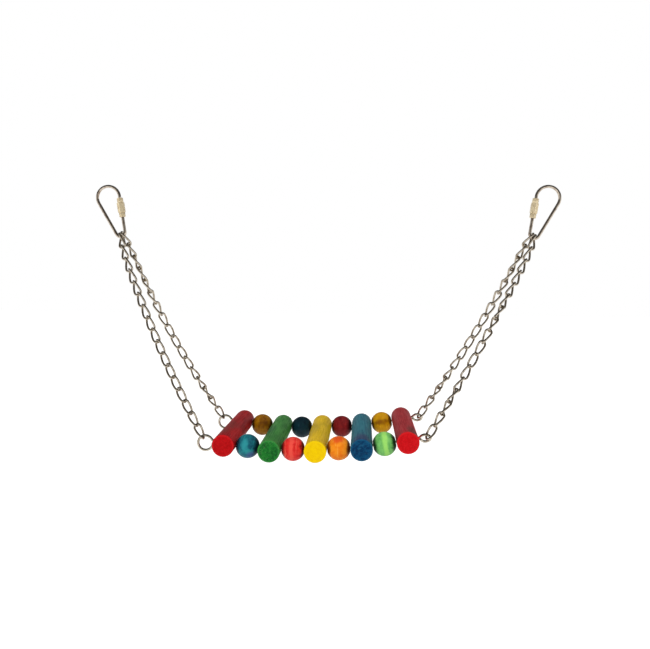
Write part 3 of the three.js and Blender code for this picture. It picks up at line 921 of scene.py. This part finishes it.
for row_name, row in ROWS.items():
    for i in range(RUNG_COUNT - 1):
        distance = -DECK_HALF_LENGTH + (i + 0.5) * RUNG_PITCH
        place = Matrix.Translation(deck_point(distance) + DEPTH * row * WIRE_HALF_SPACING)
        turn = Matrix.Rotation(-deck_slope(distance), 4, "Y")
        bead = bead_object(f"bead_{row_name}_{i + 1}_wood")
        bead.matrix_world = placed(deck_frame @ place @ turn)
        dress(bead, f"bead_{row_name}_{i + 1}", bead_finishes[row_name][i])


# Deck wires

WIRE_SIDES = 20
EYE_STEPS = 56
NECK_STEPS = 8
# A wire's cut end is bevelled over the last tenth of its tail, to this share of its radius
CUT_BEVEL = 0.82
CUT_BEVEL_START = 0.9


def deck_wire_object(row_name, row):
    """One wire from its left eye, through the deck, to its right eye."""
    def eye(side):
        neck, ring = EYE_NECK[side], EYE_RADIUS[side]
        neck_angle = math.acos(ring / neck)
        neck_reach = math.sqrt(neck**2 - ring**2)
        out, across = eye_plane(side)
        centre = eye_centre(side, row)
        root = centre - out * neck
        shank = Vector((-side * math.cos(END_SLOPE), 0, -math.sin(END_SLOPE)))
        start = math.pi - neck_angle
        finish = neck_angle - math.pi
        loop = arc(centre, ring, start, finish, EYE_STEPS, out, across)
        towards = (loop[0] - root).normalized()
        bend = []
        for step in range(NECK_STEPS + 1):
            share = step / NECK_STEPS
            way = shank * (1 - share) ** 2 + towards * share**2
            bend.append(root + way * EYE_NECK_BEND)
        tail = loop[-1].lerp(root, 1 - EYE_TAIL_END / neck_reach)
        points = bend + loop + [loop[-1].lerp(tail, CUT_BEVEL_START), tail]
        return [(point, out.cross(across) * -side) for point in points]

    middle = []
    spans = 2 * (RUNG_COUNT - 1)
    for i in range(spans + 1):
        position = deck_point(-DECK_HALF_LENGTH + i * RUNG_PITCH / 2)
        middle.append((position + DEPTH * row * WIRE_HALF_SPACING, DEPTH))
    line = eye(-1)[::-1] + middle + eye(1)
    last = len(line) - 1

    def radius(i, angle):
        return DECK_WIRE_RADIUS * (CUT_BEVEL if i in (0, last) else 1)

    points, starts = zip(*line)
    rings = sweep(points, starts, radius, WIRE_SIDES)
    wire = build(f"deck_wire_{row_name}_steel", rings)
    settle(wire, deck_frame)
    dress(wire, f"deck_wire_{row_name}", wire_finish)


for row_name, row in ROWS.items():
    deck_wire_object(row_name, row)


# Quick links and their sleeves

QUICK_LINK_SIDES = 28
BOW_STEPS = 72
FOOT_STEPS = 40
THREAD_LENGTH = SLEEVE_GRIP
THREAD_STEPS = 44
THREAD_PITCH = 0.5
THREAD_DEPTH = 0.12
# How much thinner the wire is at its very ends, and over how many steps that fades
TAPER = 0.2
TAPER_STEPS = 5

SLEEVE_SIDES = 96
SLEEVE_SHARP_EDGE = 24
COLLAR_BEVEL = 0.3
COLLAR_GROOVE = 0.12
BORE_BEVEL = 0.25


def quick_link_object(side_name):
    """A pear of wire whose two ends, threaded, face each other across the gate."""
    def straight(begin, end, count):
        return [LEG_TOP + LEG_DOWN * (begin + (end - begin) * i / count) for i in range(count)]

    gate_top = SLEEVE_BELOW_BOW + SLEEVE_GRIP
    gate_bottom = gate_top + GATE_GAP
    leg = (Vector((math.cos(LEG_LEAN), 0, -math.sin(LEG_LEAN))) * FOOT_RADIUS - LEG_TOP).length
    points = straight(gate_top, gate_top - THREAD_LENGTH, THREAD_STEPS)
    points += straight(gate_top - THREAD_LENGTH, 0, 3)
    points += arc(UP * FOOT_TO_BOW, BOW_RADIUS, -LEG_LEAN, math.pi + LEG_LEAN, BOW_STEPS)
    points += arc(Vector(), FOOT_RADIUS, math.pi + LEG_LEAN, 2 * math.pi - LEG_LEAN, FOOT_STEPS)
    points += straight(leg, gate_bottom + THREAD_LENGTH, 6)[1:]
    points += straight(gate_bottom + THREAD_LENGTH, gate_bottom, THREAD_STEPS)
    points.append(LEG_TOP + LEG_DOWN * gate_bottom)
    last = len(points) - 1

    def radius(i, angle):
        from_end = min(i, last - i)
        if from_end > THREAD_STEPS:
            return QUICK_LINK_WIRE_RADIUS
        travelled = from_end / THREAD_STEPS * THREAD_LENGTH
        turn = 0.5 - 0.5 * math.cos(2 * math.pi * travelled / THREAD_PITCH - angle)
        taper = TAPER * max(0, 1 - from_end / TAPER_STEPS)
        return QUICK_LINK_WIRE_RADIUS - THREAD_DEPTH * turn - taper

    rings = sweep(points, [DEPTH] * len(points), radius, QUICK_LINK_SIDES)
    return build(f"quick_link_{side_name}_steel", rings)


def sleeve_object(side_name):
    """A hexagonal nut between two bevelled collars, bored for the leg."""
    end = SLEEVE_LENGTH / 2
    shoulder = SLEEVE_HEX_LENGTH / 2
    flat = SLEEVE_ACROSS_FLATS / 2
    corner = SLEEVE_ACROSS_FLATS / math.sqrt(3)
    bore = QUICK_LINK_WIRE_RADIUS + SLEEVE_BORE_CLEARANCE
    collar = SLEEVE_COLLAR_RADIUS
    groove = collar - COLLAR_GROOVE
    half = [
        (-end, bore + 0.2), (-end, collar - COLLAR_BEVEL), (-end + COLLAR_BEVEL, collar),
        (-end + 1.1, collar), (-end + 1.2, groove), (-end + 1.4, groove), (-end + 1.5, collar),
        (-shoulder - 0.15, collar), (-shoulder, collar - 0.05), (-shoulder, flat),
        (-shoulder + 0.15, flat + 0.14), (-shoulder + 0.35, flat + 0.3), (-shoulder + 0.6, corner),
    ]
    profile = half + [(-height, radius) for height, radius in reversed(half)]
    profile += [(end - BORE_BEVEL, bore), (BORE_BEVEL - end, bore)]

    def shape(radius, angle):
        """Corners lie at a quarter turn, and nothing reaches past the hexagon's flats."""
        off_flat = (angle + math.pi / 6) % (math.pi / 3) - math.pi / 6
        return min(radius, flat / math.cos(off_flat)) if radius > flat else radius

    rings = lathe(profile, SLEEVE_SIDES, UP, RIGHT, shape)
    return build(f"sleeve_{side_name}_nut", rings, looped=True, sharp=SLEEVE_SHARP_EDGE)


# Chains

LINK_SIDES = 14
CROWN_STEPS = 18
LEG_STEPS = 12
# The butt joint lies in the middle of the first leg, where the wire narrows to this share
SEAM_RING = CROWN_STEPS + LEG_STEPS // 2
SEAM_NARROWING = 0.93


def link_mesh(side_name, hand):
    """An oval of wire whose plane turns steadily along its length, with a butt joint in one leg."""
    points = []
    starts = []

    def add(height, across, rise, reach):
        turn = hand * height / LINK_INNER_LENGTH * LINK_TWIST
        sideways = Vector((math.cos(turn), math.sin(turn), 0))
        points.append(sideways * across + UP * height)
        starts.append(sideways * -reach - UP * rise)

    for end in (1, -1):
        for i in range(CROWN_STEPS + 1):
            angle = math.pi * i / CROWN_STEPS
            across, rise = end * math.cos(angle), end * math.sin(angle)
            add(end * CROWN_CENTRE + CROWN_RADIUS * rise, CROWN_RADIUS * across, rise, across)
        for i in range(1, LEG_STEPS):
            height = end * CROWN_CENTRE * (1 - 2 * i / LEG_STEPS)
            add(height, -end * CROWN_RADIUS, 0, -end)

    def radius(i, angle):
        return LINK_WIRE_RADIUS * (SEAM_NARROWING if i == SEAM_RING else 1)

    rings = sweep(points, starts, radius, LINK_SIDES, looped=True)
    link = build(f"link_{side_name}", rings, looped=True)
    mesh = link.data
    bpy.data.objects.remove(link)
    mesh.materials.append(chain_finish)
    return mesh


def link_node(side_name, row_name, i):
    """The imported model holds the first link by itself, and the others in pairs."""
    pair = (i + 1) // 2 * 2
    label = f"{pair}_{pair + 1}" if i else "1"
    return f"chain_{side_name}_{row_name}_link_{label}"


for side_name, side in SIDES.items():
    hanger = Matrix.Translation((side * FOOT_X, 0, foot_height + deck_height))
    if side > 0:
        hanger @= Matrix.Rotation(math.pi, 4, "Z")
    hanger @= Matrix.Rotation(-QUICK_LINK_TILT, 4, "Y")
    quick_link = quick_link_object(side_name)
    settle(quick_link, hanger)
    dress(quick_link, f"quick_link_{side_name}", hardware_finish)
    sleeve = sleeve_object(side_name)
    middle = LEG_TOP + LEG_DOWN * (SLEEVE_BELOW_BOW + SLEEVE_LENGTH / 2)
    settle(sleeve, hanger @ Matrix.Translation(middle) @ Matrix.Rotation(LEG_LEAN, 4, "Y"))
    dress(sleeve, f"sleeve_{side_name}", sleeve_finish)
    mesh = link_mesh(side_name, side)
    for row_name, row in ROWS.items():
        for i, place in enumerate(link_places(side, row)):
            link = add_object(f"link_{side_name}_{row_name}_{i + 1:02d}", mesh)
            link.matrix_world = placed(place)
            dress(link, link_node(side_name, row_name, i), chain_finish)


# Camera

CAMERA_PLACE = Vector((29.25, -503.98, -67.81))
CAMERA_YAW = math.radians(3.174)
CAMERA_PITCH = math.radians(-3.938)
CAMERA_ROLL = math.radians(0.448)
# The focal length and the picture's width, in pixels
FOCAL_LENGTH = 666.0
PICTURE_WIDTH = 650.0
SENSOR_WIDTH = 36

camera_data = bpy.data.cameras.new("camera")
camera_data.sensor_width = SENSOR_WIDTH
camera_data.lens = SENSOR_WIDTH * FOCAL_LENGTH / PICTURE_WIDTH
camera_data.clip_start = 0.01
camera = bpy.data.objects.new("camera", camera_data)
bpy.context.scene.collection.objects.link(camera)
view = Matrix.Rotation(CAMERA_YAW, 4, "Z") @ Matrix.Rotation(math.pi / 2 + CAMERA_PITCH, 4, "X")
camera.matrix_world = Matrix.Translation(CAMERA_PLACE * MM) @ view @ Matrix.Rotation(
    CAMERA_ROLL, 4, "Z")
bpy.context.scene.camera = camera


# Floor, lamps and world

FLOOR_HEIGHT = -0.42
FLOOR_REACH = 6.0
FLOOR_SQUARES = 24
FLOOR_GREY = 0.9
FLOOR_GLOW = 0.45
WORLD_FILL = 0.35
# The backdrop that metal sees: it fades out between these heights, and between these
# directions to the front, where -1 is straight ahead of the object
BACKDROP_TOP = (0.12, 0.32)
BACKDROP_SIDES = (-0.92, -0.65)
ROOM_DARK = 0.12
LAMP_DISTANCE = 2


def seen_directly(tree):
    """1 for what the camera sees, straight on or in metal or glass, and 0 for other light."""
    path = tree.nodes.new("ShaderNodeLightPath").outputs
    straight = calculate(tree, "MAXIMUM", path["Is Camera Ray"], path["Is Transmission Ray"])
    return calculate(tree, "MAXIMUM", straight, path["Is Glossy Ray"])


def make_floor():
    shape = bmesh.new()
    bmesh.ops.create_grid(
        shape, x_segments=FLOOR_SQUARES, y_segments=FLOOR_SQUARES, size=FLOOR_REACH)
    mesh = bpy.data.meshes.new("floor")
    shape.to_mesh(mesh)
    shape.free()
    floor = add_object("floor", mesh)
    floor.location.z = FLOOR_HEIGHT
    material = bpy.data.materials.new("white_floor")
    material.use_nodes = True
    tree = material.node_tree
    tree.nodes.clear()
    paper = tree.nodes.new("ShaderNodeBsdfDiffuse")
    paper.inputs["Color"].default_value = (FLOOR_GREY, FLOOR_GREY, FLOOR_GREY, 1)
    glow = tree.nodes.new("ShaderNodeEmission")
    glow.inputs["Color"].default_value = (1, 1, 1, 1)
    strength = calculate(tree, "MULTIPLY", seen_directly(tree), FLOOR_GLOW)
    tree.links.new(strength, glow.inputs["Strength"])
    both = tree.nodes.new("ShaderNodeAddShader")
    tree.links.new(paper.outputs[0], both.inputs[0])
    tree.links.new(glow.outputs[0], both.inputs[1])
    output = tree.nodes.new("ShaderNodeOutputMaterial")
    tree.links.new(both.outputs[0], output.inputs["Surface"])
    mesh.materials.append(material)


def make_world():
    """White to the camera. Metal sees white low down at the sides and behind, in a dark room."""
    world = bpy.data.worlds.new("studio")
    bpy.context.scene.world = world
    world.use_nodes = True
    tree = world.node_tree
    tree.nodes.clear()

    def light(level):
        node = tree.nodes.new("ShaderNodeBackground")
        node.inputs["Color"].default_value = (1, 1, 1, 1)
        node.inputs["Strength"].default_value = level
        return node.outputs[0]

    def blend(share, first, second):
        node = tree.nodes.new("ShaderNodeMixShader")
        for socket, value in zip(node.inputs, (share, first, second)):
            tree.links.new(value, socket)
        return node.outputs[0]

    way = tree.nodes.new("ShaderNodeSeparateXYZ")
    tree.links.new(tree.nodes.new("ShaderNodeTexCoord").outputs["Generated"], way.inputs[0])
    low = smooth_range(tree, way.outputs["Z"], *BACKDROP_TOP, 1, 0)
    behind = smooth_range(tree, way.outputs["Y"], *BACKDROP_SIDES, 0, 1)
    backdrop = calculate(tree, "MULTIPLY", low, behind)
    path = tree.nodes.new("ShaderNodeLightPath").outputs
    straight = calculate(tree, "MAXIMUM", path["Is Camera Ray"], path["Is Transmission Ray"])
    room = blend(backdrop, light(ROOM_DARK), light(1))
    other = blend(path["Is Glossy Ray"], light(WORLD_FILL), room)
    output = tree.nodes.new("ShaderNodeOutputWorld")
    tree.links.new(blend(straight, other, light(1)), output.inputs["Surface"])


def soft_lamp(name, way, spread, level):
    """A wide, far lamp in a direction; at level 1 it lights white paper facing it to white."""
    lamp = bpy.data.lights.new(name, "SUN")
    lamp.angle = math.radians(spread)
    lamp.energy = level * math.pi
    holder = bpy.data.objects.new(name, lamp)
    bpy.context.scene.collection.objects.link(holder)
    holder.location = Vector(way).normalized() * LAMP_DISTANCE
    holder.rotation_euler = (-holder.location).to_track_quat("-Z", "Y").to_euler()
    holder.visible_glossy = False


make_floor()
make_world()
soft_lamp("front_lamp", way=(-0.3, -0.85, 0.42), spread=36, level=0.5)
soft_lamp("top_lamp", way=(0.3, -0.1, 1.0), spread=50, level=0.25)

bpy.context.scene.view_settings.view_transform = "Standard"
